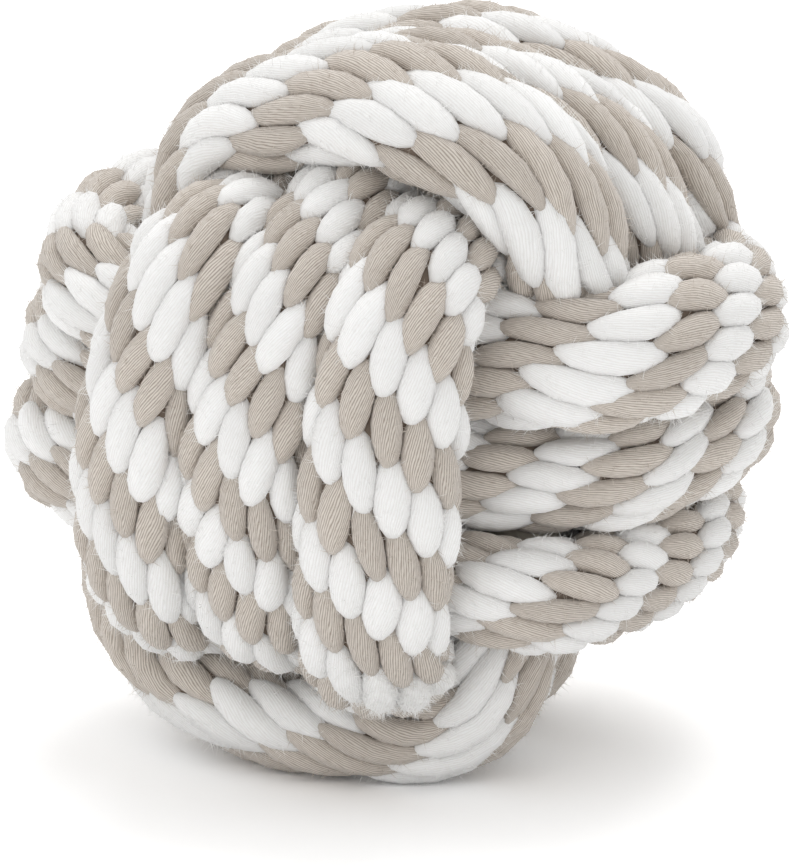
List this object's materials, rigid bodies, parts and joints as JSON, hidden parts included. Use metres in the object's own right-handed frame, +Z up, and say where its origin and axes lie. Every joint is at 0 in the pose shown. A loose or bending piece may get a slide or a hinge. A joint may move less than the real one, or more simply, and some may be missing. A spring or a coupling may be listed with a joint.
{
  "type": "rope ball dog toy",
  "caption": "Ball-shaped rope dog toy for chewing and fetching: thick two-tone braided cotton rope tied as a monkey's fist, in crossing bands, round a hidden rubber ball.",
  "frame": {"origin": "on the floor under the middle of the ball's bounding box, as the ball rests in the picture", "axes": "+Z up; the face of the ball turned to the camera is toward -Y, and +X is to the camera's right"},
  "size_m": [0.0996, 0.0988, 0.0969],
  "materials": {
    "rope_cotton": "matt soft solid-braid cotton, alternate white and taupe stitches",
    "core_rubber": "plain moulded rubber, out of sight",
    "end_seal": "dipped and set glue, out of sight"
  },
  "bodies": {
    "root": {"rope": "rope_cotton", "core_ball": "core_rubber", "end_seal_start": "end_seal", "end_seal_finish": "end_seal"}
  },
  "joints": []
}
